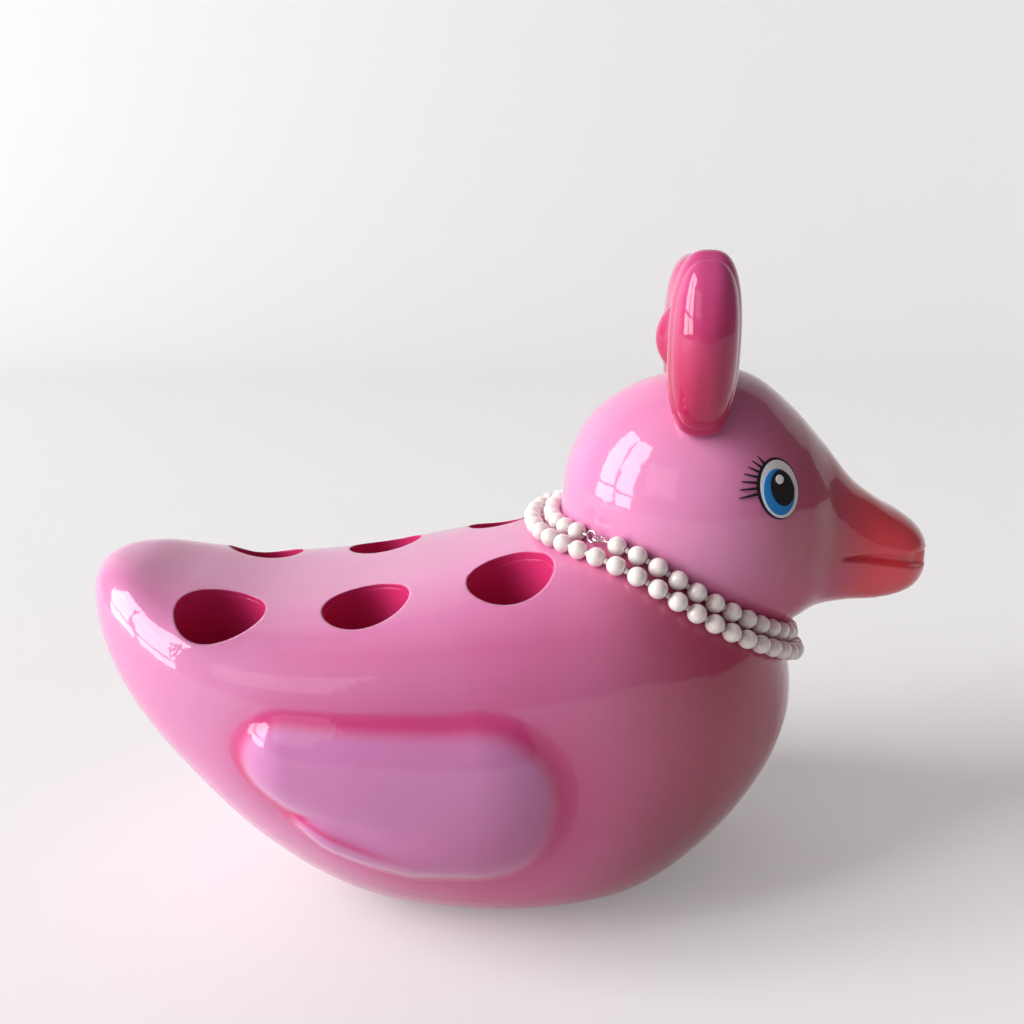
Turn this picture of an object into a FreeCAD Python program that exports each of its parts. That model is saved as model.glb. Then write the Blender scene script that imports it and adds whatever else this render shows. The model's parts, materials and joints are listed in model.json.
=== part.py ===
import FreeCAD, Part
import math
import os

V = FreeCAD.Vector
os.makedirs("parts", exist_ok=True)

# Sizes in millimetres: +X is the way the duck faces, +Y its left, +Z up.
body_length = 318.0
body_width = 172.0
body_height = 160.0
beak_reach = 58.0
head_length = 166.0
head_width = 116.0
head_height = 120.0
head_sink = 47.0
shell_wall = 4.0
seat_gap = 0.1

socket_bore = 36.0
socket_wall = 2.0
socket_depth = 62.0
socket_floor = 2.5
socket_pitch = 60.0
socket_row_gap = 84.0
socket_middle_x = -63.0

wing_length = 138.0
wing_height = 78.0
wing_relief = 5.0
wing_bury = 12.0
wing_front_from_chest = 107.0
wing_centre_height = 74.0

base_plate_length = 92.0
base_plate_width = 46.0
base_plate_thickness = 2.0
base_ledge = 4.0
base_plate_gap = 0.2
base_centre_x = -8.0

bow_span = 126.0
bow_loop_height = 72.0
bow_loop_thickness = 28.0
bow_knot_width = 34.0
bow_knot_height = 36.0
bow_knot_thickness = 28.0
bow_turn_degrees = -10.0
bow_from_beak = 108.0

eye_from_beak = 84.0
eye_above_head_base = 79.0
eye_width = 17.0
eye_height = 22.5
eye_tilt_degrees = 16.0
eye_layer = 0.6
iris_share = 0.80
pupil_share = 0.62
glint_diameter = 3.4
rim_width = 0.9
lash_length = 9.0
lash_width = 1.1
lash_count = 7

pearl_diameter = 8.0
pearl_hole = 1.8
pearl_pitch = 9.4
pearl_clearance = 0.25
row_clearance = 1.3
thread_diameter = 1.0
knot_diameter = 2.4
clasp_degrees = 222.0
clasp_space = 13.0
clasp_ring_radius = 2.5
clasp_wire = 1.0

mouth_depth = 3.0
mouth_corner_from_beak = 48.0
mouth_line_height = 43.5
mouth_gape = 8.0

# Where the body and the head lie along X, so that the whole length is centred on the origin.
whole_length = body_length + beak_reach
tail_x = -whole_length / 2
chest_x = tail_x + body_length
beak_x = whole_length / 2
head_back_x = beak_x - head_length
head_base_z = body_height - head_sink

# Lines of the body at even steps of its rounded length: heights are shares of body_height,
# half widths are shares of half body_width.
body_lines = {
    "back": [0.86, 0.95, 0.98, 0.93, 0.895, 0.91, 0.96, 1.015, 1.08, 1.00, 0.87, 0.71, 0.56],
    "keel": [0.86, 0.69, 0.50, 0.32, 0.12, -0.01, -0.03, -0.025, 0.00, 0.085, 0.21, 0.39, 0.56],
    "side": [0.00, 0.25, 0.50, 0.72, 0.88, 0.97, 1.00, 0.99, 0.93, 0.80, 0.58, 0.30, 0.00],
    "wide": [0.86, 0.83, 0.74, 0.65, 0.58, 0.53, 0.50, 0.50, 0.50, 0.50, 0.51, 0.54, 0.56],
    "upper": [2.3, 2.4, 2.6, 2.7, 2.8, 2.8, 2.8, 2.7, 2.6, 2.4, 2.2, 2.1, 2.0],
    "lower": [2.1] * 13,
}

# Lines of the head and beak: heights are shares of head_height above head_base_z.
head_lines = {
    "back": [0.49, 0.625, 0.75, 0.85, 0.92, 0.972, 0.996, 1.00, 0.964,
             0.888, 0.754, 0.57, 0.533, 0.50, 0.46, 0.408, 0.317],
    "keel": [0.49, 0.35, 0.24, 0.15, 0.09, 0.045, 0.02, 0.00, 0.01,
             0.03, 0.10, 0.125, 0.137, 0.155, 0.18, 0.22, 0.317],
    "side": [0.00, 0.246, 0.452, 0.64, 0.80, 0.918, 0.987, 0.996, 0.935,
             0.787, 0.58, 0.48, 0.48, 0.45, 0.36, 0.22, 0.00],
    "wide": [0.49, 0.49, 0.50, 0.50, 0.50, 0.50, 0.50, 0.50, 0.49,
             0.46, 0.40, 0.36, 0.34, 0.33, 0.32, 0.317, 0.317],
    "upper": [2.0] * 10 + [2.1, 2.3, 2.5, 2.5, 2.4, 2.2, 2.1],
    "lower": [2.0] * 10 + [2.1, 2.3, 2.5, 2.5, 2.4, 2.2, 2.1],
}


def along(values, share):
    """Smooth value of a line at a share of its length."""
    place = min(max(share, 0.0), 1.0) * (len(values) - 1)
    i = min(int(place), len(values) - 2)
    t = place - i
    before = values[i - 1] if i > 0 else 2 * values[0] - values[1]
    after = values[i + 2] if i + 2 < len(values) else 2 * values[-1] - values[-2]
    a, b = values[i], values[i + 1]
    return 0.5 * (2 * a + (b - before) * t + (2 * before - 5 * a + 4 * b - after) * t ** 2
                  + (3 * a - before - 3 * b + after) * t ** 3)


def mirrored(shape):
    return shape.mirror(V(0, 0, 0), V(0, 1, 0))


def ring_wire(points):
    curve = Part.BSplineCurve()
    curve.interpolate(points, PeriodicFlag=True)
    return Part.Wire([curve.toShape()])


class Hull:
    """A rounded hollow form lofted along X through superellipse sections."""

    def __init__(self, lines, start_x, length, base_z, height, half_width, stations):
        self.lines = lines
        self.start_x = start_x
        self.length = length
        self.base_z = base_z
        self.height = height
        self.half_width = half_width
        self.stations = stations

    def section(self, x, inset=0.0):
        turn = 1 - 2 * (x - self.start_x) / self.length
        share = math.acos(min(max(turn, -1.0), 1.0)) / math.pi
        level = {}
        for name in ("back", "keel", "wide"):
            level[name] = self.base_z + self.height * along(self.lines[name], share)
        half = self.half_width * along(self.lines["side"], share) - inset
        up = level["back"] - level["wide"] - inset
        down = level["wide"] - level["keel"] - inset
        upper = along(self.lines["upper"], share)
        lower = along(self.lines["lower"], share)
        return half, level["wide"], up, down, upper, lower

    def side_y(self, x, z):
        """Half width of the form at one height."""
        half, wide, up, down, upper, lower = self.section(x)
        reach, power = (up, upper) if z >= wide else (down, lower)
        share = min(abs(z - wide) / reach, 1.0)
        return half * (1 - share ** power) ** (1 / power)

    def wire(self, x, inset):
        half, wide, up, down, upper, lower = self.section(x, inset)
        points = []
        for k in range(24):
            c = math.cos(2 * math.pi * k / 24)
            s = math.sin(2 * math.pi * k / 24)
            reach, power = (up, upper) if s >= 0 else (down, lower)
            y = half * math.copysign(abs(c) ** (2 / power), c)
            z = wide + reach * math.copysign(abs(s) ** (2 / power), s)
            points.append(V(x, y, z))
        return ring_wire(points)

    def solid(self, inset=0.0):
        first = self.start_x + inset
        length = self.length - 2 * inset
        profile = []
        for i in range(self.stations + 1):
            share = min(max(i / self.stations, 0.02), 0.98)
            x = first + length * (1 - math.cos(math.pi * share)) / 2
            profile.append(self.wire(x, inset))
        return Part.makeLoft(profile, True)

    def slice(self, first_x, last_x, inset):
        """Part of the form between two upright planes."""
        profile = []
        for i in range(9):
            profile.append(self.wire(first_x + (last_x - first_x) * i / 8, inset))
        return Part.makeLoft(profile, True)

    def surface_points(self, first_x, last_x, low_z, high_z, step):
        """Close-set points of the outside between two planes and two heights."""
        points = []
        x = max(first_x, self.start_x + 0.05)
        while x < min(last_x, self.start_x + self.length - 0.05):
            half, wide, up, down, upper, lower = self.section(x)
            count = max(12, int(2 * math.pi * max(half, up, down) / step))
            for k in range(count):
                c = math.cos(2 * math.pi * k / count)
                s = math.sin(2 * math.pi * k / count)
                reach, power = (up, upper) if s >= 0 else (down, lower)
                z = wide + reach * math.copysign(abs(s) ** (2 / power), s)
                if low_z < z < high_z:
                    points.append(V(x, half * math.copysign(abs(c) ** (2 / power), c), z))
            to_end = min(x - self.start_x, self.start_x + self.length - x)
            x += min(step, max(0.1, step * to_end / 20))
        return points


body = Hull(body_lines, tail_x, body_length, 0.0, body_height, body_width / 2, 14)
head = Hull(head_lines, head_back_x, head_length, head_base_z, head_height, head_width / 2, 18)


def above(level):
    return Part.makeBox(800, 800, 800, V(-400, -400, level))


def ellipse_face(centre, length, width):
    """Flat oval in the XY plane."""
    points = []
    for k in range(24):
        a = 2 * math.pi * k / 24
        points.append(centre + V(length / 2 * math.cos(a), width / 2 * math.sin(a), 0))
    return Part.Face(ring_wire(points))


body_skin = body.solid().common(above(0.0))
body_cavity = body.solid(shell_wall).common(above(shell_wall))
head_skin = head.solid()
head_cavity = head.solid(shell_wall)

# Wing: two pillow-shaped feathers, each lofted through upright ovals sunk into the flank.
wing_front_x = chest_x - wing_front_from_chest
# Share of wing_length from the rear tip, centre height and half height as shares of wing_height.
upper_feather = [(0.0, 0.29, 0.0), (0.14, 0.20, 0.21), (0.30, 0.12, 0.29), (0.44, 0.06, 0.36),
                 (0.62, 0.01, 0.45), (0.76, 0.00, 0.48), (0.89, 0.00, 0.43), (0.96, 0.00, 0.30),
                 (1.0, 0.01, 0.0)]
lower_feather = [(0.13, -0.06, 0.0), (0.26, -0.13, 0.18), (0.38, -0.18, 0.22), (0.52, -0.21, 0.26),
                 (0.66, -0.20, 0.26), (0.78, -0.16, 0.0)]


def feather(table, relief):
    profile = []
    for share, centre, half in table:
        x = wing_front_x - wing_length * (1 - share)
        z = wing_centre_height + wing_height * centre
        y = -(body.side_y(x, z) - wing_bury)
        if half == 0.0:
            profile.append(Part.Vertex(V(x, y, z)))
            continue
        points = []
        for k in range(16):
            a = 2 * math.pi * k / 16
            reach = wing_bury + relief if math.cos(a) > 0 else wing_bury / 3
            points.append(V(x, y - reach * math.cos(a), z + wing_height * half * math.sin(a)))
        profile.append(ring_wire(points))
    return Part.makeLoft(profile, True)


wing_root = body.solid(shell_wall + 0.8)
right_wing = [feather(upper_feather, wing_relief), feather(lower_feather, wing_relief * 0.6)]
right_wing = [piece.cut(wing_root) for piece in right_wing]
wings = right_wing + [mirrored(piece) for piece in right_wing]

# Sockets: cups under the shell, each trimmed by the inside of the shell so that it seats there.
sockets = {}
bores = []
for step, place in ((-1, "rear"), (0, "middle"), (1, "front")):
    x = socket_middle_x + step * socket_pitch
    y = -socket_row_gap / 2
    half, wide, up, down, upper, lower = body.section(x)
    deck = wide + up * (1 - (abs(y) / half) ** upper) ** (1 / upper)
    floor_z = deck - socket_depth
    cup = Part.makeCylinder(socket_bore / 2 + socket_wall, socket_depth * 2, V(x, y, floor_z - socket_floor))
    bore = Part.makeCylinder(socket_bore / 2, socket_depth * 2, V(x, y, floor_z))
    socket = cup.common(body_cavity).cut(bore)
    sockets["socket_right_" + place] = socket
    sockets["socket_left_" + place] = mirrored(socket)
    bores.extend([bore, mirrored(bore)])
    print("socket", place, "x", x, "y", y, "rim", round(deck, 2), "floor", round(floor_z, 2))

# Base: an oval plate let into a ledge under the body.
base_centre = V(base_centre_x, 0, 0)
recess = ellipse_face(base_centre, base_plate_length, base_plate_width)
recess = recess.extrude(V(0, 0, base_plate_thickness))
opening = ellipse_face(base_centre, base_plate_length - 2 * base_ledge, base_plate_width - 2 * base_ledge)
opening = opening.extrude(V(0, 0, shell_wall * 2))
base_plate = ellipse_face(base_centre, base_plate_length - 2 * base_plate_gap,
                          base_plate_width - 2 * base_plate_gap)
base_plate = base_plate.extrude(V(0, 0, base_plate_thickness))

body_shell = body_skin.cut(body_cavity).fuse(wings).cut([recess, opening] + bores)

# Head: a hollow ball and beak seated on the dome of the body, with a wedge cut for the mouth.
mouth_x = beak_x - mouth_corner_from_beak
mouth_z = head_base_z + mouth_line_height
mouth_end_x = beak_x + 10
mouth_outline = [V(mouth_x, -100, mouth_z), V(mouth_end_x, -100, mouth_z),
                 V(mouth_end_x, -100, mouth_z - mouth_gape), V(mouth_x, -100, mouth_z - 0.8)]
mouth = Part.Face(Part.makePolygon(mouth_outline + mouth_outline[:1])).extrude(V(0, 200, 0))
mouth = mouth.cut(head.solid(mouth_depth))
head_cavity_small = head.solid(shell_wall + mouth_depth)
beak_zone = Part.makeBox(200, 400, 400, V(mouth_x - 12, -200, 0))
hollow = head_cavity.cut(beak_zone).fuse(head_cavity_small.common(beak_zone))
head_shell = head_skin.cut([hollow, mouth, body_skin])
head_shell = max(head_shell.Solids, key=lambda piece: piece.Volume)

# Bow: two puffed loops either side of a knot, all resting on the head.
bow_x = beak_x - bow_from_beak
bow_z = head_base_z + head_height + bow_knot_height / 2 - 3
loop_sections = [(0.10, 0.55, 0.38), (0.30, 0.80, 0.66), (0.55, 0.98, 0.95),
                 (0.75, 1.00, 1.00), (0.92, 0.72, 0.74), (1.00, 0.16, 0.16)]


def bow_loop():
    profile = []
    for share, thick, tall in loop_sections:
        points = []
        for k in range(16):
            a = 2 * math.pi * k / 16
            points.append(V(bow_x + bow_loop_thickness / 2 * thick * math.cos(a), -bow_span / 2 * share,
                            bow_z + bow_loop_height / 2 * tall * math.sin(a)))
        profile.append(ring_wire(points))
    return Part.makeLoft(profile, True)


def stretched_ball(centre, length, width, height):
    shape = Part.makeSphere(0.5)
    grow = FreeCAD.Matrix()
    grow.scale(length, width, height)
    shape = shape.transformGeometry(grow)
    shape.translate(centre)
    return shape


def turned(shape):
    copy = shape.copy()
    copy.rotate(V(bow_x, 0, 0), V(0, 0, 1), bow_turn_degrees)
    return copy


knot_ball = stretched_ball(V(bow_x, 0, bow_z), bow_knot_width, bow_knot_thickness, bow_knot_height)
knot_ball = turned(knot_ball)
bow_knot = knot_ball.cut(head_skin)
right_loop = bow_loop()
bow_loop_right = turned(right_loop).cut([head_skin, knot_ball])
bow_loop_left = turned(mirrored(right_loop)).cut([head_skin, knot_ball])

# Eyes: thin layers laid one on the other over the cheek, with the lashes fanned behind.
eye_x = beak_x - eye_from_beak
eye_z = head_base_z + eye_above_head_base
layers = [head_skin]
for step in range(1, 5):
    layers.append(head.slice(eye_x - 2.2 * eye_width, eye_x + 1.2 * eye_width, -eye_layer * step))


def eye_point(across, up):
    a = math.radians(eye_tilt_degrees)
    return V(eye_x + across * math.cos(a) - up * math.sin(a), 0,
             eye_z + across * math.sin(a) + up * math.cos(a))


def oval(across, up, width, height):
    """Oval column through the cheek, tilted with the eye."""
    points = []
    for k in range(20):
        a = 2 * math.pi * k / 20
        points.append(eye_point(across + width / 2 * math.cos(a), up + height / 2 * math.sin(a)))
    return Part.Face(ring_wire(points)).extrude(V(0, -head_width, 0))


def lash(degrees, length):
    """Tapered stroke that starts inside the rim of the eye."""
    a = math.radians(degrees)
    base = V(eye_width / 2 * math.cos(a), eye_height / 2 * math.sin(a), 0)
    way = V(math.cos(a), 0.7 * math.sin(a), 0).normalize()
    side = V(-way.y, way.x, 0) * (lash_width / 2)
    corners = [base + side, base + way * length + side * 0.3, base + way * length - side * 0.3, base - side]
    points = [eye_point(p.x, p.y) for p in corners]
    return Part.Face(Part.makePolygon(points + points[:1])).extrude(V(0, -head_width, 0))


def layer(column, number):
    return column.common(layers[number]).cut(layers[number - 1])


eye_column = oval(0, 0, eye_width, eye_height)
iris_column = oval(-0.6, -0.8, eye_width * iris_share, eye_height * iris_share)
pupil_column = oval(1.2, 0.4, eye_width * pupil_share, eye_height * pupil_share)
glint_column = oval(0.6, 4.2, glint_diameter, glint_diameter)
rim_column = oval(-rim_width / 2, rim_width / 3, eye_width + rim_width * 1.6, eye_height + rim_width * 1.6)
lash_columns = []
for k in range(lash_count):
    fan = k / (lash_count - 1)
    lash_columns.append(lash(172 - 62 * fan, lash_length * (1 - 0.45 * fan)))
lash_column = rim_column.fuse(lash_columns).cut(eye_column)
eye_pieces = {
    "eye_white": layer(eye_column, 1),
    "eye_iris": layer(iris_column, 2),
    "eye_pupil": layer(pupil_column.common(iris_column), 3),
    "eye_glint": layer(glint_column, 4),
    "eyelashes": layer(lash_column, 1),
}

# Necklace: one strand wound twice round the neck, nestled in the crease of head and body.
rest = pearl_diameter / 2 + pearl_clearance
row_step = pearl_diameter + row_clearance
neck_x = (head_back_x + chest_x) / 2


class Cloud:
    """Close-set points of one surface, filed by place for quick look-up."""

    def __init__(self, points, cell):
        self.cell = cell
        self.cells = {}
        for p in points:
            self.cells.setdefault(self.place(p), []).append(p)

    def place(self, p):
        return int(p.x // self.cell), int(p.y // self.cell), int(p.z // self.cell)

    def nearest(self, point):
        """Distance to the surface and the way straight out of it."""
        i, j, k = self.place(point)
        best = None
        reach = 1
        while best is None:
            for a in range(i - reach, i + reach + 1):
                for b in range(j - reach, j + reach + 1):
                    for c in range(k - reach, k + reach + 1):
                        for p in self.cells.get((a, b, c), ()):
                            gap = (point - p).Length
                            if best is None or gap < best[0]:
                                best = (gap, p)
            reach += 1
        return best[0], (point - best[1]).normalize()


neck_zone = (head_back_x - 40, chest_x + 30, head_base_z - 30, head_base_z + 0.75 * head_height, 1.0)
head_cloud = Cloud(head.surface_points(*neck_zone), 6.0)
body_cloud = Cloud(body.surface_points(*neck_zone), 6.0)


def nestle(degrees, start):
    """Centre of a pearl that touches the head and the body at one angle round the neck."""
    a = math.radians(degrees)
    out = V(math.cos(a), math.sin(a), 0)
    point = start
    for step in range(12):
        head_gap, head_way = head_cloud.nearest(point)
        body_gap, body_way = body_cloud.nearest(point)
        m11, m12 = head_way.dot(out), head_way.z
        m21, m22 = body_way.dot(out), body_way.z
        d1, d2 = rest - head_gap, rest - body_gap
        if max(abs(d1), abs(d2)) < 0.01:
            break
        det = m11 * m22 - m12 * m21
        move_out = (d1 * m22 - d2 * m12) / det
        move_up = (m11 * d2 - m21 * d1) / det
        size = max(1.0, math.hypot(move_out, move_up) / 6.0)
        point = point + out * (move_out / size) + V(0, 0, move_up / size)
    return point


def lie_beside(degrees, inner):
    """Centre of a pearl one row further down, resting on the body."""
    a = math.radians(degrees)
    out = V(math.cos(a), math.sin(a), 0)
    low, high = -95.0, 60.0
    for step in range(14):
        mid = (low + high) / 2
        turn = math.radians(mid)
        point = inner + out * (row_step * math.cos(turn)) + V(0, 0, row_step * math.sin(turn))
        if body_cloud.nearest(point)[0] < rest:
            low = mid
        else:
            high = mid
    return point


neck_steps = 24
upper_row = []
lower_row = []
guess = V(chest_x + pearl_diameter, 0, head_base_z + 8)
for k in range(neck_steps + 1):
    degrees = 180.0 * k / neck_steps
    if k > 0:
        reach = math.hypot(guess.x - neck_x, guess.y)
        a = math.radians(degrees)
        guess = V(neck_x + reach * math.cos(a), reach * math.sin(a), guess.z)
    guess = nestle(degrees, guess)
    upper_row.append(guess)
    lower_row.append(lie_beside(degrees, guess))
for row in (upper_row, lower_row):
    row.extend([V(p.x, -p.y, p.z) for p in reversed(row[1:-1])])


def on_row(row, degrees):
    place = (degrees % 360.0) / 360.0 * len(row)
    i = int(place) % len(row)
    around = [row[(i + step) % len(row)] for step in (-1, 0, 1, 2)]
    return V(*[along([p[axis] for p in around], (1 + place - int(place)) / 3) for axis in range(3)])


cross_degrees = 70.0
cross_spread = 44.0


def strand_point(turn_degrees):
    """Point of the strand: from the clasp round the far side and back, twice."""
    angle = clasp_degrees - turn_degrees
    inner = on_row(upper_row, angle)
    outer = on_row(lower_row, angle)
    first_cross = (clasp_degrees - cross_degrees) % 360.0
    passed = turn_degrees - first_cross
    second = passed > 180.0
    phase = (passed - (360.0 if second else 0.0)) / cross_spread
    mix = 0.5 + 0.5 * math.sin(math.pi * min(max(phase, -0.5), 0.5))
    along_row = outer - inner
    ring = V(-math.sin(math.radians(angle)), math.cos(math.radians(angle)), 0)
    away = ring.cross(along_row).normalize()
    if away.z < 0:
        away = away * -1
    if not second:
        return inner + along_row * mix
    lift = 2 * math.sqrt(max(mix * (1 - mix), 0.0)) * row_step
    return outer - along_row * mix + away * lift


samples = []
turn_step = 2.0
for k in range(int(720 / turn_step) + 1):
    samples.append(strand_point(k * turn_step))
lengths = [0.0]
for p, q in zip(samples, samples[1:]):
    lengths.append(lengths[-1] + (q - p).Length)


def strand_at(distance):
    i = 0
    while i < len(lengths) - 2 and lengths[i + 1] < distance:
        i += 1
    share = (distance - lengths[i]) / (lengths[i + 1] - lengths[i])
    return samples[i] + (samples[i + 1] - samples[i]) * share


strand_length = lengths[-1] - clasp_space
pearl_count = int(strand_length / pearl_pitch)
spacing = strand_length / pearl_count
print("strand length", round(strand_length, 1), "pearls", pearl_count, "pitch", round(spacing, 3))


def bead(diameter, hole):
    """Drilled ball, turned about its hole."""
    radius, inner = diameter / 2, hole / 2
    top = math.sqrt(radius ** 2 - inner ** 2)
    arc = Part.Arc(V(inner, 0, -top), V(radius, 0, 0), V(inner, 0, top)).toShape()
    wall = Part.makeLine(V(inner, 0, top), V(inner, 0, -top))
    return Part.Face(Part.Wire([arc, wall])).revolve(V(0, 0, 0), V(0, 0, 1), 360)


def strung(shape, centre, way):
    copy = shape.copy()
    copy.Placement = FreeCAD.Placement(centre, FreeCAD.Rotation(V(0, 0, 1), way))
    return copy


pearl = bead(pearl_diameter, pearl_hole)
pearls = []
centres = []
for k in range(pearl_count):
    distance = clasp_space / 2 + spacing * (k + 0.5)
    centre = strand_at(distance)
    way = (strand_at(distance + 1.0) - strand_at(distance - 1.0)).normalize()
    pearls.append(strung(pearl, centre, way))
    centres.append(centre)
nearest = 1e9
for i in range(pearl_count):
    for j in range(i):
        nearest = min(nearest, (centres[i] - centres[j]).Length)
print("least pearl to pearl gap", round(nearest - pearl_diameter, 3))

half_count = pearl_count // 2
pearls_first_turn = Part.makeCompound(pearls[:half_count])
pearls_second_turn = Part.makeCompound(pearls[half_count:])

# Thread: one tube through all the pearls, from one side of the clasp to the other.
thread_end = clasp_space / 2 - pearl_pitch * 0.2
ends = [strand_at(thread_end), strand_at(lengths[-1] - thread_end)]
thread_line = Part.BSplineCurve()
thread_line.interpolate([ends[0]] + centres + [ends[1]])
thread_edge = thread_line.toShape()
start_way = thread_line.tangent(thread_line.FirstParameter)[0]
circle = Part.Wire([Part.makeCircle(thread_diameter / 2, ends[0], start_way)])
necklace_thread = Part.Wire([thread_edge]).makePipeShell([circle], True, True)
least = 1e9
line_points = thread_edge.discretize(600)
for i in range(0, 600, 2):
    for j in range(i + 30, 600, 2):
        least = min(least, (line_points[i] - line_points[j]).Length)
print("thread length", round(thread_edge.Length, 1), "least gap to itself", round(least - thread_diameter, 3))

# Knots: a small bead of thread between each two pearls.
knot = bead(knot_diameter, thread_diameter + 2 * seat_gap)
knots = [strung(knot, (a + b) * 0.5, b - a) for a, b in zip(centres, centres[1:])]
necklace_knots = Part.makeCompound(knots)

# Clasp: a ring and a hook linked through it.
clasp_a, clasp_b = ends
clasp_way = (clasp_a - clasp_b).normalize()
clasp_mid = (clasp_a + clasp_b) * 0.5
clasp_side = clasp_way.cross(V(0, 0, 1)).normalize()
clasp_up = clasp_side.cross(clasp_way)
link = clasp_ring_radius - clasp_wire - 0.15
half_link = (clasp_ring_radius + link) / 2
clasp_ring = Part.makeTorus(clasp_ring_radius, clasp_wire / 2, clasp_mid + clasp_way * half_link, clasp_side)
clasp_hook = Part.makeTorus(clasp_ring_radius, clasp_wire / 2, clasp_mid - clasp_way * half_link, clasp_up)

nodes = {
    "body_shell": body_shell,
    "base_plate": base_plate,
    "head_shell": head_shell,
    "bow_loop_right": bow_loop_right,
    "bow_loop_left": bow_loop_left,
    "bow_knot": bow_knot,
    "pearls_first_turn": pearls_first_turn,
    "pearls_second_turn": pearls_second_turn,
    "necklace_thread": necklace_thread,
    "necklace_knots": necklace_knots,
    "clasp_ring": clasp_ring,
    "clasp_hook": clasp_hook,
}
nodes.update(sockets)
for name, shape in eye_pieces.items():
    nodes[name + "_right"] = shape
    nodes[name + "_left"] = mirrored(shape)

for name, shape in nodes.items():
    shape.exportStep("parts/" + name + ".step")
    box = shape.BoundBox
    print(name, len(shape.Solids), shape.isValid(), round(shape.Volume, 1),
          [round(v, 1) for v in (box.XMin, box.XMax, box.YMin, box.YMax, box.ZMin, box.ZMax)])
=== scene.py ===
import bpy
import json
import math
import numpy as np
from mathutils import Matrix, Vector

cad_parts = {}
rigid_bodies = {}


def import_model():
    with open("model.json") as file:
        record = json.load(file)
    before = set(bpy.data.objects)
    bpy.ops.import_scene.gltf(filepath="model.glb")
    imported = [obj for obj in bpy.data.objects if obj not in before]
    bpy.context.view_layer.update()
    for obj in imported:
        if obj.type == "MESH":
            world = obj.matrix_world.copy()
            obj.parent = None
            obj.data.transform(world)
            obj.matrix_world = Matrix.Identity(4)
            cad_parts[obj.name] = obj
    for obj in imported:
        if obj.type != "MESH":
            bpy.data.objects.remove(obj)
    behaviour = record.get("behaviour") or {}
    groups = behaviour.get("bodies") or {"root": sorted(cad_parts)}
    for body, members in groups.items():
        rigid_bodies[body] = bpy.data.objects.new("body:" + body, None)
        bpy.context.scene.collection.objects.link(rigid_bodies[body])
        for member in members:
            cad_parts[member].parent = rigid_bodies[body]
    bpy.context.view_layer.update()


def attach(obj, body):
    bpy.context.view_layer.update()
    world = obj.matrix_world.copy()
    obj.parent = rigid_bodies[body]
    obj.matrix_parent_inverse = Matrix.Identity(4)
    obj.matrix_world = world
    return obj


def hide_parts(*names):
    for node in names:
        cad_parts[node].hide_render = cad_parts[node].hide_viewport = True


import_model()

# Main sizes in metres, the same as those of the solid part.
BODY_LENGTH, BODY_WIDTH, BODY_HEIGHT = 0.318, 0.172, 0.160
HEAD_LENGTH, HEAD_WIDTH, HEAD_HEIGHT = 0.166, 0.116, 0.120
WHOLE_LENGTH = BODY_LENGTH + 0.058
TAIL_X = -WHOLE_LENGTH / 2
CHEST_X = TAIL_X + BODY_LENGTH
BEAK_X = WHOLE_LENGTH / 2
HEAD_BASE_Z = BODY_HEIGHT - 0.047

# Sockets: radius of the cut in the body, distance from the middle, then the place along the back and the
# floor height of each pair. The cut sinks a little below the floor.
SOCKET_CUT = 0.01815
SOCKET_Y = 0.042
SOCKET_PLACES = ((-0.123, 0.0784), (-0.063, 0.0813), (-0.003, 0.0927))
SOCKET_SINK = 0.0006
CUTTER_LENGTH = 0.24
WALL_SLACK, FLOOR_SLACK = 0.00005, 0.002

# Lines of the body and of the head. Their steps are even in angle along a half circle, so that they lie
# closer at both ends. Heights and half widths are shares of the sizes above, and upper and lower say how
# square the section is above and below its widest line, where 2 is an ellipse.
BODY_LINES = {
    "back": [0.86, 0.95, 0.965, 0.915, 0.877, 0.892, 0.945, 1.010, 1.08, 1.00, 0.87, 0.71, 0.56],
    "keel": [0.86, 0.735, 0.555, 0.363, 0.145, 0.00, -0.03, -0.03, 0.00, 0.105, 0.265, 0.445, 0.56],
    "side": [0.00, 0.25, 0.50, 0.72, 0.88, 0.97, 1.00, 0.99, 0.93, 0.80, 0.58, 0.30, 0.00],
    "wide": [0.86, 0.83, 0.74, 0.65, 0.58, 0.53, 0.50, 0.50, 0.50, 0.50, 0.51, 0.54, 0.56],
    "upper": [2.3, 2.4, 2.7, 3.3, 3.7, 3.7, 3.4, 2.9, 2.6, 2.4, 2.2, 2.1, 2.0],
    "lower": [2.1, 2.1, 2.1, 2.1, 2.2, 2.4, 2.8, 3.0, 2.8, 2.3, 2.1, 2.1, 2.1],
}
HEAD_LINES = {
    "back": [0.49, 0.625, 0.75, 0.85, 0.92, 0.972, 1.003, 1.020, 0.990,
             0.890, 0.755, 0.615, 0.535, 0.487, 0.443, 0.395, 0.317],
    "keel": [0.49, 0.35, 0.24, 0.15, 0.09, 0.045, 0.02, 0.00, 0.01,
             0.03, 0.10, 0.125, 0.137, 0.155, 0.18, 0.22, 0.317],
    "side": [0.00, 0.246, 0.452, 0.64, 0.80, 0.918, 0.985, 0.989, 0.925,
             0.780, 0.58, 0.48, 0.48, 0.45, 0.36, 0.22, 0.00],
    "wide": [0.49, 0.49, 0.50, 0.50, 0.50, 0.50, 0.50, 0.50, 0.49,
             0.46, 0.40, 0.36, 0.34, 0.33, 0.32, 0.317, 0.317],
    "upper": [2.0] * 10 + [2.1, 2.3, 2.5, 2.5, 2.4, 2.2, 2.1],
}
HEAD_LINES["lower"] = HEAD_LINES["upper"]
HULL_RINGS, HULL_POINTS = 420, 420

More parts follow.
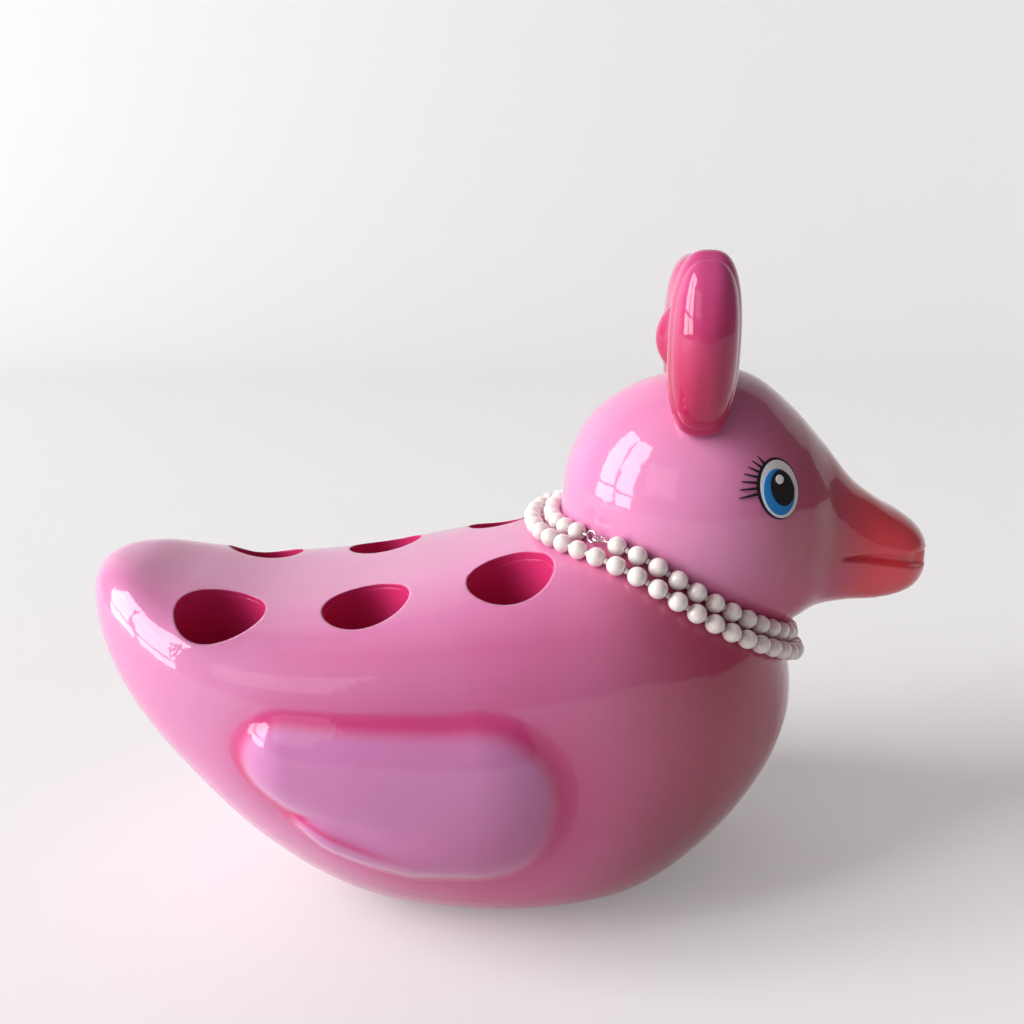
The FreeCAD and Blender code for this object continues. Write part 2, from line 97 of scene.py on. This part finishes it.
# Wing: two feathers in relief, each a list of (share of the wing's length from its rear tip, height of the
# centre, half height), the last two as shares of the wing's height.
WING_LENGTH, WING_HEIGHT = 0.138, 0.078
WING_FRONT_X = CHEST_X - 0.107
WING_Z = 0.074
UPPER_FEATHER = [(0.0, 0.26, 0.24), (0.14, 0.22, 0.29), (0.30, 0.15, 0.36), (0.44, 0.10, 0.41),
                 (0.62, 0.05, 0.46), (0.70, 0.03, 0.49)]
LOWER_FEATHER = [(0.13, -0.06, 0.10), (0.26, -0.13, 0.18), (0.38, -0.18, 0.22), (0.52, -0.21, 0.26),
                 (0.66, -0.20, 0.27)]
UPPER_FRONT, LOWER_FRONT = 1.0, 0.95
UPPER_RELIEF, LOWER_RELIEF = 0.008, 0.006
FEATHER_BURY = 0.012
FEATHER_TIP = 0.024
FEATHER_FALL = 0.02
FEATHER_EASING = 15
WING_SOFTNESS = 0.003
FOLD_SHARP, FOLD_MELTED = 0.0004, 0.0044
FOLD_MELTS_X = (-0.080, -0.030)
WING_STARTS_Y = (0.02, 0.05)

# Mouth: a wedge pressed into the beak, which deepens from its corner and fades out at the tip.
MOUTH_LENGTH = 0.050
MOUTH_X = BEAK_X - MOUTH_LENGTH
MOUTH_Z = HEAD_BASE_Z + 0.0435
MOUTH_GAP, MOUTH_OPENING = 0.0012, 0.0075
MOUTH_PRESS = 0.0032
UPPER_LIP, LOWER_LIP = (0.0, 0.0010), (-0.0006, 0.0016)
MOUTH_STARTS, MOUTH_FADES, MOUTH_FADE = (0.0, 0.12), (0.80, 0.96), 0.85
TIP_RADIUS = 0.022

# Bow: two puffed loops and a knot between them.
BOW_X, BOW_Z = BEAK_X - 0.108, HEAD_BASE_Z + HEAD_HEIGHT + 0.015
BOW_TURN = math.radians(-10)
LOOP_LENGTH, LOOP_HALF_THICK, LOOP_HALF_TALL = 0.063, 0.014, 0.036
LOOP_SHARES = (0.08, 0.10, 0.30, 0.55, 0.75, 0.92, 1.0)
LOOP_THICK = (0.50, 0.55, 0.80, 0.98, 1.0, 0.74, 0.0)
LOOP_TALL = (0.34, 0.38, 0.66, 0.95, 1.0, 0.76, 0.0)
LOOP_EASING = 40
LOOP_END = 0.22
LOOP_FULL_FROM, LOOP_FULL = 0.7, 0.9
LOOP_FOLDS, LOOP_FOLD_DEPTH = 5, 0.08
KNOT_X, KNOT_Y, KNOT_Z = 0.017, 0.014, 0.018
KNOT_FOLDS, KNOT_FOLD_DEPTH = 6, 0.05

# Paint colours, linear. Rose pink, dusky red, shade red and deep pink also stand for painted shade, and the
# bow's two pinks for painted light and shade.
PALE_PINK = (0.78, 0.28, 0.52)
ROSE_PINK = (0.46, 0.06, 0.15)
DEEP_PINK = (0.66, 0.028, 0.19)
CORAL_RED = (0.90, 0.080, 0.105)
DUSKY_SHADE_RED = (0.42, 0.030, 0.050)
SHADE_RED = (0.17, 0.012, 0.018)
LILAC_PINK = (0.66, 0.24, 0.54)
BOW_SHADED_PINK = (0.48, 0.02, 0.09)
BOW_LIT_PINK = (0.58, 0.07, 0.22)
SOCKET_PINK = (0.62, 0.03, 0.15)
BASE_ROSE = (0.40, 0.10, 0.16)
EYE_WHITE = (0.86, 0.84, 0.82)
EYE_BLUE = (0.02, 0.26, 0.70)
EYE_BLACK = (0.008, 0.008, 0.010)
EDGE_ROUNDING = 0.0012

# Airbrush round the wing and painted shade on the body and head: pairs are the stretch over which each comes
# in, in metres, or in radii of the neck for its painted shade ring. The airbrushed halo round the wing is
# wider at the front, and the low painted shades slope with X.
FLANK_Y = (0.03, 0.05)
WING_EDGE_RISE = (-0.0005, 0.004)
WING_TOP_RISE = (0.0005, 0.004)
HALO_X = (-0.03, 0.03)
HALO_REAR, HALO_GAIN = 0.011, 0.006
FOLD_WIDTH = 0.002
FOLD_ENDS_X = (-0.070, -0.035)
WING_LOW_Z = (0.03, 0.10)
BELLY_Z = (0.0, 0.05)
BREAST_X = (-0.01, 0.09)
LOW_BREAST_X, LOW_BREAST_Z = (0.0, 0.08), (0.02, 0.10)
NECK_X, NECK_HALF_LENGTH, NECK_HALF_WIDTH = 0.076, 0.060, 0.058
NECK_RING, NECK_Z = (0.95, 1.35), (0.10, 0.13)
BEAK_PAINT_X = (0.130, 0.160)
FACE_X = (0.075, 0.130)
LOW_HEAD_Z = (0.135, 0.165)
SHADE_SLOPE = 0.35

# Light: a tall window of two columns on the left, a weak fill in front and a dim room.
WINDOW_X, WINDOW_Y, WINDOW_STEP, WINDOW_WIDTH = -5.2, -1.0, 0.95, 1.65
WINDOW_ROWS = ((4.9, 2.3, 115.0), (2.3, 2.3, 115.0), (0.55, 0.8, 40.0))
WINDOW_TARGET = (0, 0, 0.12)
FILL_PLACE, FILL_TARGET, FILL_SIZE, FILL_POWER = (-0.9, -1.2, 0.9), (0, 0, 0.1), 0.7, 2.0
ROOM_COLOUR, ROOM_STRENGTH = (0.30, 0.24, 0.26, 1), 0.6

# Floor that curves up into a backdrop. Its glow evens out the light that falls off from left to right.
SWEEP_HALF_WIDTH, SWEEP_FRONT_Y, SWEEP_TOP_Z = 8.0, -6.0, 6.0
SWEEP_BEND_Y, SWEEP_RADIUS, SWEEP_STEPS = 2.0, 1.2, 24
SWEEP_GREY = (0.70, 0.70, 0.70, 1)
GLOW_X, GLOW_LEFT, GLOW_RIGHT = 2.0, 0.04, 0.38

# Camera: where the picture was taken from, raised a little so that the far sockets show.
CAMERA_PLACE = (-0.0145, -0.3949, 0.2771)
CAMERA_WAY = (0.0337, 0.9644, -0.2623)
CAMERA_LENS, CAMERA_SENSOR = 31.64, 36.0


def along(values, share):
    """Smooth values of a line at shares of its length."""
    values = np.asarray(values, float)
    place = np.clip(share, 0, 1) * (len(values) - 1)
    i = np.minimum(place.astype(int), len(values) - 2)
    t = place - i
    padded = np.concatenate(([2 * values[0] - values[1]], values, [2 * values[-1] - values[-2]]))
    before, a, b, after = padded[i], padded[i + 1], padded[i + 2], padded[i + 3]
    return 0.5 * (2 * a + (b - before) * t + (2 * before - 5 * a + 4 * b - after) * t ** 2
                  + (3 * a - before - 3 * b + after) * t ** 3)


def smooth_step(low, high, value):
    t = np.clip((value - low) / (high - low), 0, 1)
    return t * t * (3 - 2 * t)


def soft_positive(value, softness):
    """The value where it is positive and nothing where it isn't, with a soft bend between."""
    return 0.5 * (value + np.sqrt(value * value + softness * softness))


def signed_power(value, power):
    return np.sign(value) * np.abs(value) ** power


def eased(line, passes):
    """A line with its corners eased."""
    for step in range(passes):
        line[1:-1] = (line[:-2] + 2 * line[1:-1] + line[2:]) / 4
    return line


def hull_lines(lines, share, base_z, height, half_width):
    """Heights of the back, the keel and the widest line, and the half width, at shares of a hull's length."""
    back, keel, wide = [base_z + height * along(lines[name], share) for name in ("back", "keel", "wide")]
    return back, keel, wide, half_width * along(lines["side"], share)


def hull_grid(lines, start_x, length, base_z, height, half_width):
    """Points of a rounded hull, ring by ring along X."""
    share = np.linspace(0.003, 0.997, HULL_RINGS)[:, None]
    turn = np.linspace(0, 2 * np.pi, HULL_POINTS, endpoint=False)[None, :]
    back, keel, wide, half = hull_lines(lines, share, base_z, height, half_width)
    c, s = np.cos(turn), np.sin(turn)
    power = np.where(s >= 0, along(lines["upper"], share), along(lines["lower"], share))
    reach = np.where(s >= 0, back - wide, wide - keel)
    x = start_x + length * (1 - np.cos(np.pi * share)) / 2 + 0 * turn
    y = half * signed_power(c, 2 / power)
    z = wide + reach * signed_power(s, 2 / power)
    return np.stack([x, y, z], axis=-1)


def mesh_object(name, grid):
    """Mesh of a grid of rings, joined round and capped at both ends."""
    rings, points = grid.shape[:2]
    vertices = grid.reshape(-1, 3).tolist()
    faces = []
    for i in range(rings - 1):
        for j in range(points):
            k = (j + 1) % points
            faces.append((i * points + j, (i + 1) * points + j, (i + 1) * points + k, i * points + k))
    for ring, order in ((0, 1), (rings - 1, -1)):
        vertices.append(grid[ring].mean(axis=0).tolist())
        tip = len(vertices) - 1
        for j in range(points):
            edge = (ring * points + j, ring * points + (j + 1) % points)[::order]
            faces.append((tip, *edge))
    mesh = bpy.data.meshes.new(name)
    mesh.from_pydata(vertices, [], faces)
    mesh.update()
    mesh.shade_smooth()
    obj = bpy.data.objects.new(name, mesh)
    bpy.context.collection.objects.link(obj)
    return obj


def coordinates(obj):
    flat = np.empty(len(obj.data.vertices) * 3)
    obj.data.vertices.foreach_get("co", flat)
    return flat.reshape(-1, 3)


def paint(obj, colours):
    """Stores a paint colour at each vertex."""
    layer = obj.data.color_attributes.new("paint", "FLOAT_COLOR", "POINT")
    rgba = np.concatenate([colours, np.ones((len(colours), 1))], axis=1)
    layer.data.foreach_set("color", rgba.astype(np.float32).ravel())


def mixed(a, b, share):
    """Colours that go from a to b, with one share for each point."""
    share = np.asarray(share)[:, None]
    return np.asarray(a) * (1 - share) + np.asarray(b) * share


# Materials.
def new_material(name):
    material = bpy.data.materials.new(name)
    material.use_nodes = True
    tree = material.node_tree
    return material, tree.nodes, tree.links, tree.nodes["Principled BSDF"]


def set_inputs(node, values):
    for name, value in values.items():
        node.inputs[name].default_value = value


def orange_peel(nodes, links, shader, scale, height, rounding=0.0):
    """Slight unevenness of sprayed lacquer, over edges rounded by a small radius."""
    where = nodes.new("ShaderNodeTexCoord")
    noise = nodes.new("ShaderNodeTexNoise")
    set_inputs(noise, {"Scale": scale, "Detail": 2.0})
    bump = nodes.new("ShaderNodeBump")
    set_inputs(bump, {"Strength": 1.0, "Distance": height})
    links.new(where.outputs["Object"], noise.inputs["Vector"])
    links.new(noise.outputs["Fac"], bump.inputs["Height"])
    if rounding:
        bevel = nodes.new("ShaderNodeBevel")
        set_inputs(bevel, {"Radius": rounding})
        links.new(bevel.outputs["Normal"], bump.inputs["Normal"])
    links.new(bump.outputs["Normal"], shader.inputs["Normal"])
    links.new(bump.outputs["Normal"], shader.inputs["Coat Normal"])


def lacquer(name, colour=None, roughness=0.35, coat=1.0, rounding=0.0):
    """Sprayed colour under a clear gloss coat; with no colour given, the painted one is used."""
    material, nodes, links, shader = new_material(name)
    where = nodes.new("ShaderNodeTexCoord")
    cloud = nodes.new("ShaderNodeTexNoise")
    set_inputs(cloud, {"Scale": 35.0, "Detail": 5.0})
    tint = nodes.new("ShaderNodeMixRGB")
    tint.blend_type = "MULTIPLY"
    set_inputs(tint, {"Fac": 0.10})
    links.new(where.outputs["Object"], cloud.inputs["Vector"])
    links.new(cloud.outputs["Fac"], tint.inputs["Color2"])
    if colour is None:
        source = nodes.new("ShaderNodeVertexColor")
        source.layer_name = "paint"
        links.new(source.outputs["Color"], tint.inputs["Color1"])
    else:
        set_inputs(tint, {"Color1": (*colour, 1)})
    links.new(tint.outputs["Color"], shader.inputs["Base Color"])
    set_inputs(shader, {"Roughness": roughness, "Specular IOR Level": 0.05})
    set_inputs(shader, {"Coat Weight": coat, "Coat Roughness": 0.03, "Coat IOR": 1.45})
    orange_peel(nodes, links, shader, 140.0, 0.00012, rounding)
    return material


def colour_ramp(nodes, links, shader, source, first, last):
    """Base colour that goes from first to last with a value."""
    ramp = nodes.new("ShaderNodeValToRGB")
    ramp.color_ramp.elements[0].color = first
    ramp.color_ramp.elements[1].color = last
    links.new(source, ramp.inputs["Fac"])
    links.new(ramp.outputs["Color"], shader.inputs["Base Color"])


def pearl_material():
    material, nodes, links, shader = new_material("pearl")
    facing = nodes.new("ShaderNodeLayerWeight")
    set_inputs(facing, {"Blend": 0.35})
    colour_ramp(nodes, links, shader, facing.outputs["Facing"], (0.86, 0.80, 0.74, 1), (0.95, 0.88, 0.90, 1))
    set_inputs(shader, {"Subsurface Weight": 0.15, "Subsurface Radius": (0.002, 0.0016, 0.0012)})
    set_inputs(shader, {"Roughness": 0.24, "Coat Weight": 1.0, "Coat Roughness": 0.05, "Sheen Weight": 0.2})
    orange_peel(nodes, links, shader, 400.0, 0.00004)
    return material


def thread_material():
    material, nodes, links, shader = new_material("thread")
    where = nodes.new("ShaderNodeTexCoord")
    wave = nodes.new("ShaderNodeTexWave")
    set_inputs(wave, {"Scale": 900.0})
    links.new(where.outputs["Object"], wave.inputs["Vector"])
    colour_ramp(nodes, links, shader, wave.outputs["Fac"], (0.55, 0.50, 0.45, 1), (0.85, 0.80, 0.74, 1))
    set_inputs(shader, {"Roughness": 0.8})
    return material


def metal_material():
    material, nodes, links, shader = new_material("clasp metal")
    set_inputs(shader, {"Base Color": (0.78, 0.77, 0.75, 1), "Metallic": 1.0, "Roughness": 0.18})
    orange_peel(nodes, links, shader, 700.0, 0.00003)
    return material


body_paint = lacquer("body paint", rounding=EDGE_ROUNDING)
bow_paint = lacquer("bow paint")
socket_paint = lacquer("socket paint", SOCKET_PINK, roughness=0.4, coat=0.6, rounding=EDGE_ROUNDING)
base_paint = lacquer("base paint", BASE_ROSE, roughness=0.7, coat=0.0)
eye_white_paint = lacquer("eye white paint", EYE_WHITE)
eye_blue_paint = lacquer("eye blue paint", EYE_BLUE)
eye_black_paint = lacquer("eye black paint", EYE_BLACK)
pearl = pearl_material()
thread = thread_material()
metal = metal_material()


# Body: the hull with its wings swelling softly out of the flanks and the sockets cut into its back.
def flank_y(x, z):
    """Half width of the body at one height."""
    share = np.arccos(np.clip(1 - 2 * (x - TAIL_X) / BODY_LENGTH, -1, 1)) / np.pi
    back, keel, wide, half = hull_lines(BODY_LINES, share, 0.0, BODY_HEIGHT, BODY_WIDTH / 2)
    up = z >= wide
    power = np.where(up, along(BODY_LINES["upper"], share), along(BODY_LINES["lower"], share))
    reach = np.maximum(np.where(up, back - wide, wide - keel), 1e-4)
    level = np.clip(np.abs(z - wide) / reach, 0, 1)
    return half * (1 - level ** power) ** (1 / power)


def feather_rise(points, table, front, relief):
    """How far a feather stands out of the plain flank at each point; negative outside the feather."""
    x, z = points[..., 0], points[..., 2]
    shares, centres, halves = np.array(table).T
    xs = WING_FRONT_X - WING_LENGTH * (1 - shares)
    front_x = WING_FRONT_X - WING_LENGTH * (1 - front)
    fine = np.linspace(xs[0], xs[-1], 200)
    centre = WING_Z + WING_HEIGHT * np.interp(x, fine, eased(np.interp(fine, xs, centres), FEATHER_EASING))
    half = WING_HEIGHT * np.interp(x, fine, eased(np.interp(fine, xs, halves), FEATHER_EASING))
    behind = np.clip((xs[0] + FEATHER_TIP - x) / FEATHER_TIP, 0, None)
    ahead = np.clip((x - xs[-1]) / (front_x - xs[-1]), 0, None)
    outward = np.sqrt(((z - centre) / half) ** 2 + behind ** 2 + ahead ** 2)
    dome = np.sqrt(np.maximum(1 - outward * outward, 0))
    rise = flank_y(x, centre) - FEATHER_BURY + (FEATHER_BURY + relief) * dome - flank_y(x, z)
    return np.where(outward < 1, rise, np.minimum(rise, 0) - (outward - 1) * FEATHER_FALL)


def wing_rises(points):
    """Rise of the whole wing and of each feather; the fold between them fades out towards the front."""
    upper = feather_rise(points, UPPER_FEATHER, UPPER_FRONT, UPPER_RELIEF)
    lower = feather_rise(points, LOWER_FEATHER, LOWER_FRONT, LOWER_RELIEF)
    melt = FOLD_SHARP + (FOLD_MELTED - FOLD_SHARP) * smooth_step(*FOLD_MELTS_X, points[..., 0])
    wing = 0.5 * (upper + lower + np.sqrt((upper - lower) ** 2 + melt ** 2))
    return wing, upper, lower


def winged_body():
    grid = hull_grid(BODY_LINES, TAIL_X, BODY_LENGTH, 0.0, BODY_HEIGHT, BODY_WIDTH / 2)
    wing = wing_rises(grid)[0]
    flank = smooth_step(*WING_STARTS_Y, np.abs(grid[..., 1]))
    grid[..., 1] += np.sign(grid[..., 1]) * soft_positive(wing, WING_SOFTNESS) * flank
    grid[..., 2] = np.maximum(grid[..., 2], 0.0)
    return mesh_object("duck_body", grid)


def drilled(obj):
    """The same mesh with the six sockets cut out of it."""
    cutters = []
    for x, floor_z in SOCKET_PLACES:
        for y in (-SOCKET_Y, SOCKET_Y):
            middle = (x, y, floor_z - SOCKET_SINK + CUTTER_LENGTH / 2)
            bpy.ops.mesh.primitive_cylinder_add(
                vertices=128, radius=SOCKET_CUT, depth=CUTTER_LENGTH, location=middle)
            cutters.append(bpy.context.object)
    for cutter in cutters:
        hole = obj.modifiers.new("socket", "BOOLEAN")
        hole.operation = "DIFFERENCE"
        hole.solver = "MANIFOLD"
        hole.object = cutter
    graph = bpy.context.evaluated_depsgraph_get()
    mesh = bpy.data.meshes.new_from_object(obj.evaluated_get(graph))
    obj.modifiers.clear()
    for cutter in cutters:
        bpy.data.objects.remove(cutter)
    return mesh


def body_colours(points):
    """Pale pink, lilac wings, deep pink airbrush round them; painted shade on the belly, wing, breast and
    neck.
    """
    x, y, z = points.T
    wing, upper, lower = wing_rises(points)
    on_flank = smooth_step(*FLANK_Y, np.abs(y))
    on_wing = smooth_step(*WING_TOP_RISE, wing) * on_flank
    spread = HALO_REAR + HALO_GAIN * smooth_step(*HALO_X, x)
    halo = np.exp(-(np.minimum(wing, 0) / spread) ** 2)
    halo *= (1 - smooth_step(*WING_EDGE_RISE, wing)) * on_flank
    fold = np.exp(-(upper / FOLD_WIDTH) ** 2) * smooth_step(0.0, FOLD_WIDTH, lower)
    fold *= (1 - smooth_step(*FOLD_ENDS_X, x)) * on_flank
    # Painted shade: the wing goes rose pink towards its low front.
    wing_shade = on_wing * (1 - smooth_step(*WING_LOW_Z, z - SHADE_SLOPE * x))
    # Painted shade: the body goes rose pink towards the bottom.
    belly_shade = 1 - smooth_step(*BELLY_Z, z)
    # Painted shade: the low front of the body goes dark shade red.
    low_breast_shade = smooth_step(*LOW_BREAST_X, x) * (1 - smooth_step(*LOW_BREAST_Z, z))
    # Painted shade: a deep pink ring on the body round the foot of the neck.
    from_neck = np.hypot((x - NECK_X) / NECK_HALF_LENGTH, y / NECK_HALF_WIDTH)
    neck_shade = (1 - smooth_step(*NECK_RING, from_neck)) * smooth_step(*NECK_Z, z)
    colours = mixed(PALE_PINK, ROSE_PINK, 0.05 + 0.7 * belly_shade)
    colours = mixed(colours, LILAC_PINK, 0.7 * on_wing)
    colours = mixed(colours, ROSE_PINK, 0.55 * wing_shade)
    # Painted shade: the breast goes dusky red towards the front.
    colours = mixed(colours, DUSKY_SHADE_RED, 0.85 * smooth_step(*BREAST_X, x))
    colours = mixed(colours, SHADE_RED, 0.7 * low_breast_shade)
    # Deep pink: airbrush round the wing and along the feather fold, and painted shade round the neck.
    return mixed(colours, DEEP_PINK, np.clip(0.85 * halo + 0.8 * fold + 0.2 * neck_shade, 0, 0.95))


def paint_sockets(obj, points):
    """Gives the faces of the socket walls the second material."""
    in_socket = np.zeros(len(points), bool)
    for x, floor_z in SOCKET_PLACES:
        from_axis = np.hypot(points[:, 0] - x, np.abs(points[:, 1]) - SOCKET_Y)
        in_socket |= (from_axis < SOCKET_CUT + WALL_SLACK) & (points[:, 2] > floor_z - FLOOR_SLACK)
    for face in obj.data.polygons:
        face.material_index = int(in_socket[list(face.vertices)].all())


body = winged_body()
body.data = drilled(body)
body_points = coordinates(body)
paint(body, body_colours(body_points))
body.data.materials.clear()
body.data.materials.append(body_paint)
body.data.materials.append(socket_paint)
paint_sockets(body, body_points)
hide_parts("body_shell")
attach(body, "root")


# Head: ball and beak, with the mouth pressed in.
def head_with_mouth():
    grid = hull_grid(HEAD_LINES, BEAK_X - HEAD_LENGTH, HEAD_LENGTH, HEAD_BASE_Z, HEAD_HEIGHT, HEAD_WIDTH / 2)
    x, y, z = grid[..., 0], grid[..., 1], grid[..., 2]
    ahead = np.clip((x - MOUTH_X) / MOUTH_LENGTH, 0, 1)
    lip_low = MOUTH_Z - MOUTH_GAP - MOUTH_OPENING * ahead
    inside_lip = smooth_step(*UPPER_LIP, MOUTH_Z - z) * smooth_step(*LOWER_LIP, z - lip_low)
    depth = smooth_step(*MOUTH_STARTS, ahead) * (1 - MOUTH_FADE * smooth_step(*MOUTH_FADES, ahead))
    press = MOUTH_PRESS * inside_lip * depth
    out_x = x - np.minimum(x, BEAK_X - TIP_RADIUS)
    out = np.maximum(np.hypot(out_x, y), 1e-5)
    grid[..., 0] -= press * out_x / out
    grid[..., 1] -= press * y / out
    return mesh_object("duck_head", grid)


def head_colours(points):
    """Pale pink with a coral beak, and painted shade: a dusky red face and deep pink low down by the neck."""
    x, z = points[:, 0], points[:, 2]
    on_beak = smooth_step(*BEAK_PAINT_X, x)
    # Painted shade: deep pink on the lower head, down by the neck, kept off the beak.
    low_shade = 1 - smooth_step(*LOW_HEAD_Z, z + SHADE_SLOPE * np.maximum(FACE_X[0] - x, 0))
    colours = mixed(PALE_PINK, ROSE_PINK, np.full(len(points), 0.1))
    # Painted shade: the face goes dusky red towards the beak.
    colours = mixed(colours, DUSKY_SHADE_RED, 0.85 * smooth_step(*FACE_X, x))
    colours = mixed(colours, CORAL_RED, on_beak)
    return mixed(colours, DEEP_PINK, 0.45 * low_shade * (1 - on_beak))


head = head_with_mouth()
paint(head, head_colours(coordinates(head)))
head.data.materials.append(body_paint)
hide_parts("head_shell")
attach(head, "root")


# Bow: loops pinched at the knot, with shallow folds fanning from it.
def loop_grid(side):
    share = np.linspace(LOOP_SHARES[0], 0.999, 160)[:, None]
    turn = np.linspace(0, 2 * np.pi, 200, endpoint=False)[None, :]
    thick = eased(np.interp(share, LOOP_SHARES, LOOP_THICK), LOOP_EASING)
    tall = eased(np.interp(share, LOOP_SHARES, LOOP_TALL), LOOP_EASING)
    least = LOOP_FULL * (share > LOOP_FULL_FROM)
    from_end = np.clip((1.0 - share) / LOOP_END, 0, 1)
    end = np.sqrt(1 - (1 - from_end) ** 2)
    folds = 1 + LOOP_FOLD_DEPTH * np.cos(LOOP_FOLDS * turn + 0.6) * np.clip(1 - share * 1.35, 0, 1)
    x = LOOP_HALF_THICK * np.maximum(thick, least) * end * signed_power(np.cos(turn), 0.7) * folds
    y = side * LOOP_LENGTH * share + 0 * turn
    z = LOOP_HALF_TALL * np.maximum(tall, least) * end * signed_power(np.sin(turn), 0.8)
    grid = np.stack([x, y, z], axis=-1)
    return grid if side > 0 else grid[:, ::-1]


def knot_grid():
    down = np.linspace(0.02, np.pi - 0.02, 120)[:, None]
    turn = np.linspace(0, 2 * np.pi, 160, endpoint=False)[None, :]
    gather = 1 + KNOT_FOLD_DEPTH * np.cos(KNOT_FOLDS * turn) * np.sin(down)
    x = KNOT_X * np.sin(down) * np.cos(turn) * gather
    y = KNOT_Y * np.sin(down) * np.sin(turn) * gather
    z = KNOT_Z * np.cos(down) + 0 * turn
    return np.stack([x, y, z], axis=-1)


def place_bow(name, grid, node):
    obj = mesh_object(name, grid)
    obj.data.transform(Matrix.Translation((BOW_X, 0, BOW_Z)) @ Matrix.Rotation(BOW_TURN, 4, "Z"))
    # Painted light and shade: each bow piece goes lighter pink towards its top and darker low down.
    light = smooth_step(-0.02, 0.03, coordinates(obj)[:, 2] - BOW_Z)
    paint(obj, mixed(BOW_SHADED_PINK, BOW_LIT_PINK, light))
    obj.data.materials.append(bow_paint)
    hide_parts(node)
    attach(obj, "root")


place_bow("bow_right", loop_grid(-1), "bow_loop_right")
place_bow("bow_left", loop_grid(1), "bow_loop_left")
place_bow("bow_middle", knot_grid(), "bow_knot")

# Pieces kept from the solid part take their own finish.
finishes = {"socket": socket_paint, "base_plate": base_paint, "eye_white": eye_white_paint,
            "eye_iris": eye_blue_paint, "eye_pupil": eye_black_paint, "eye_glint": eye_white_paint,
            "eyelashes": eye_black_paint, "pearls": pearl, "necklace": thread, "clasp": metal}
for obj in list(bpy.data.objects):
    for start, material in finishes.items():
        if obj.type == "MESH" and obj.name.startswith(start):
            obj.data.materials.clear()
            obj.data.materials.append(material)
            obj.data.shade_smooth()
            obj.data.set_sharp_from_angle(angle=math.radians(40))


# Floor and backdrop.
def sweep_mesh():
    """Floor that curves up into a backdrop."""
    profile = [(SWEEP_FRONT_Y, 0.0)]
    for k in range(SWEEP_STEPS + 1):
        a = math.pi / 2 * k / SWEEP_STEPS
        profile.append((SWEEP_BEND_Y + SWEEP_RADIUS * math.sin(a), SWEEP_RADIUS - SWEEP_RADIUS * math.cos(a)))
    profile.append((SWEEP_BEND_Y + SWEEP_RADIUS, SWEEP_TOP_Z))
    vertices = []
    faces = []
    for i, (y, z) in enumerate(profile):
        vertices.extend([(-SWEEP_HALF_WIDTH, y, z), (SWEEP_HALF_WIDTH, y, z)])
        if i:
            faces.append((2 * i - 2, 2 * i - 1, 2 * i + 1, 2 * i))
    mesh = bpy.data.meshes.new("sweep")
    mesh.from_pydata(vertices, [], faces)
    mesh.shade_smooth()
    return mesh


def joined_value(nodes, links, operation, first, second):
    node = nodes.new("ShaderNodeMath")
    node.operation = operation
    links.new(first, node.inputs[0])
    links.new(second, node.inputs[1])
    return node.outputs["Value"]


def sweep_material():
    """Pale grey whose glow shows to the camera, in gloss and through clear things, and nowhere else."""
    material, nodes, links, shader = new_material("sweep")
    set_inputs(shader, {"Base Color": SWEEP_GREY, "Roughness": 0.8, "Specular IOR Level": 0.1})
    set_inputs(shader, {"Emission Color": (1, 1, 1, 1)})
    where = nodes.new("ShaderNodeTexCoord")
    split = nodes.new("ShaderNodeSeparateXYZ")
    glow = nodes.new("ShaderNodeMapRange")
    set_inputs(glow, {"From Min": -GLOW_X, "From Max": GLOW_X, "To Min": GLOW_LEFT, "To Max": GLOW_RIGHT})
    links.new(where.outputs["Object"], split.inputs["Vector"])
    links.new(split.outputs["X"], glow.inputs["Value"])
    ray = nodes.new("ShaderNodeLightPath")
    seen = ray.outputs["Is Camera Ray"]
    for kind in ("Is Glossy Ray", "Is Transmission Ray"):
        seen = joined_value(nodes, links, "MAXIMUM", seen, ray.outputs[kind])
    strength = joined_value(nodes, links, "MULTIPLY", glow.outputs["Result"], seen)
    links.new(strength, shader.inputs["Emission Strength"])
    return material


floor = bpy.data.objects.new("sweep", sweep_mesh())
bpy.context.collection.objects.link(floor)
floor.data.materials.append(sweep_material())

# Light.
world = bpy.data.worlds.new("room")
bpy.context.scene.world = world
world.use_nodes = True
set_inputs(world.node_tree.nodes["Background"], {"Color": ROOM_COLOUR, "Strength": ROOM_STRENGTH})


def area_light(name, place, target, width, height, power):
    data = bpy.data.lights.new(name, "AREA")
    data.shape = "RECTANGLE"
    data.size = width
    data.size_y = height
    data.energy = power
    lamp = bpy.data.objects.new(name, data)
    bpy.context.collection.objects.link(lamp)
    lamp.location = place
    way = Vector(target) - Vector(place)
    lamp.rotation_euler = way.to_track_quat("-Z", "Y").to_euler()


for column in (-1, 1):
    for z, height, power in WINDOW_ROWS:
        place = (WINDOW_X, WINDOW_Y + WINDOW_STEP * column, z)
        area_light("window", place, WINDOW_TARGET, WINDOW_WIDTH, height, power)
area_light("fill", FILL_PLACE, FILL_TARGET, FILL_SIZE, FILL_SIZE, FILL_POWER)

# Camera.
camera_data = bpy.data.cameras.new("camera")
camera_data.sensor_width = CAMERA_SENSOR
camera_data.lens = CAMERA_LENS
camera = bpy.data.objects.new("camera", camera_data)
bpy.context.collection.objects.link(camera)
camera.location = CAMERA_PLACE
camera.rotation_euler = Vector(CAMERA_WAY).to_track_quat("-Z", "Y").to_euler()
bpy.context.scene.camera = camera
bpy.context.scene.view_settings.view_transform = "Standard"
